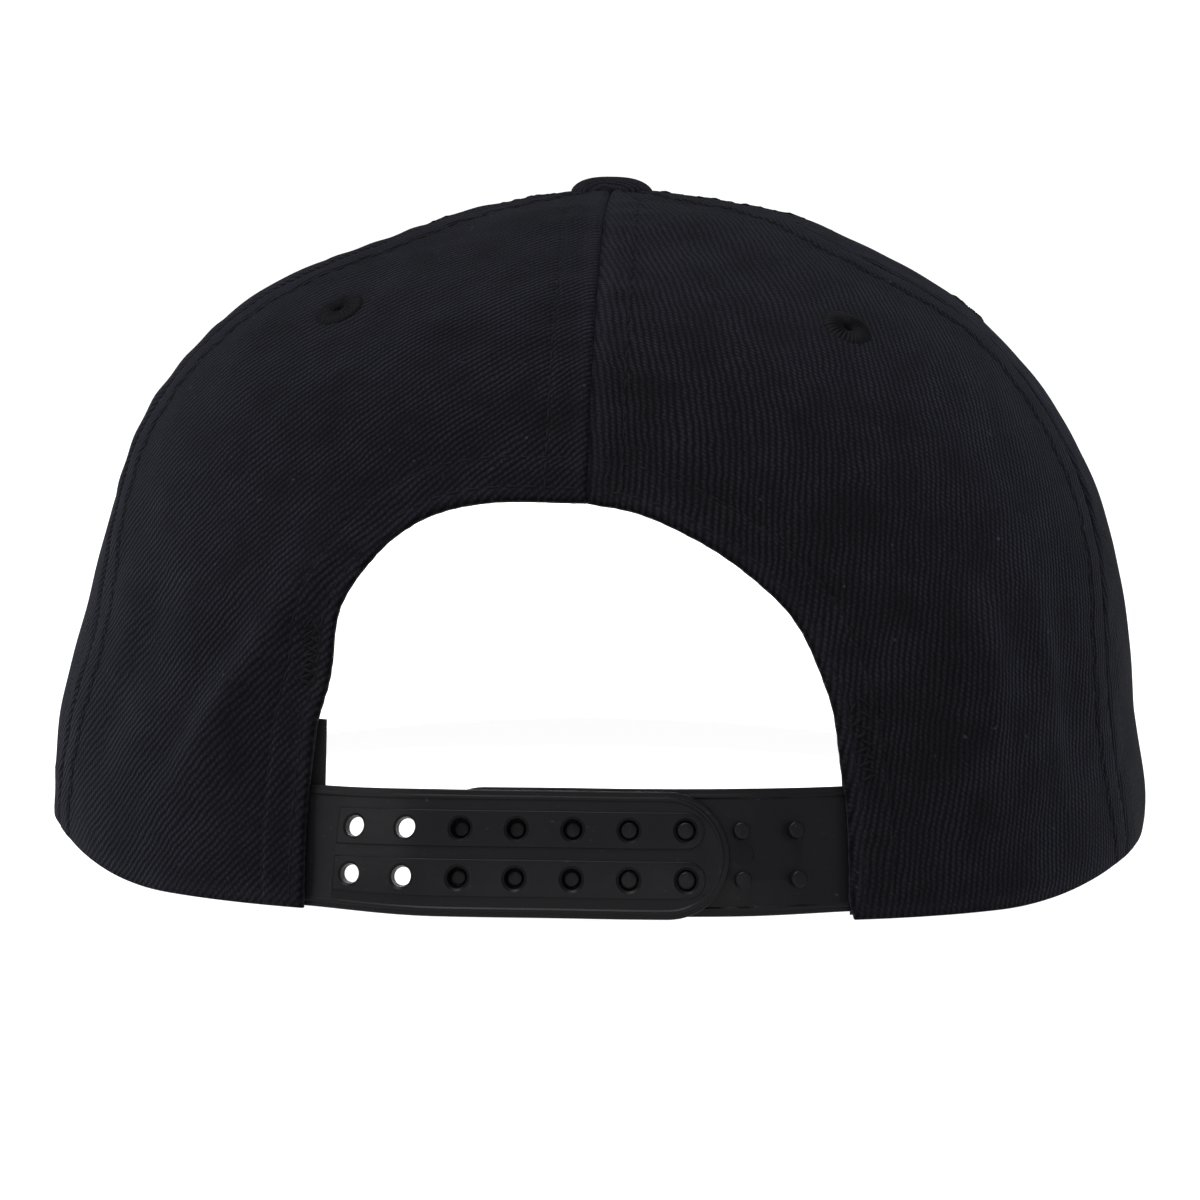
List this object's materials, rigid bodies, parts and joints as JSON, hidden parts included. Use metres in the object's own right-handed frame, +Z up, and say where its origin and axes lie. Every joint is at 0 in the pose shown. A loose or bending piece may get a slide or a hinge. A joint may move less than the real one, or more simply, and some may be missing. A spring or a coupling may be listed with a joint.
{
  "type": "snapback cap",
  "caption": "Black twill cap with a sewn crown, flat peak, arched rear opening and a moulded snap strap, resting on its hem and peak.",
  "frame": {"origin": "on the floor, under the middle of the whole cap's bounding box", "axes": "+Z up; +Y forward, towards the peak's front; +X towards the wearer's right"},
  "size_m": [0.188, 0.2558, 0.1145],
  "materials": {
    "twill": "matt black twill with a fine diagonal rib",
    "thread": "black embroidery thread",
    "band": "plain pale cotton, black at its ends",
    "strap": "satin black moulded plastic"
  },
  "bodies": {
    "root": {"front_panel_left": "twill", "front_panel_right": "twill", "side_panel_left": "twill", "side_panel_right": "twill", "rear_panel_left": "twill", "rear_panel_right": "twill", "button": "twill", "eyelet_front_left": "thread", "eyelet_front_right": "thread", "eyelet_side_left": "thread", "eyelet_side_right": "thread", "eyelet_rear_left": "thread", "eyelet_rear_right": "thread", "peak": "twill", "sweatband": "band", "strap_holes": "strap", "strap_pegs": "strap"}
  },
  "joints": []
}
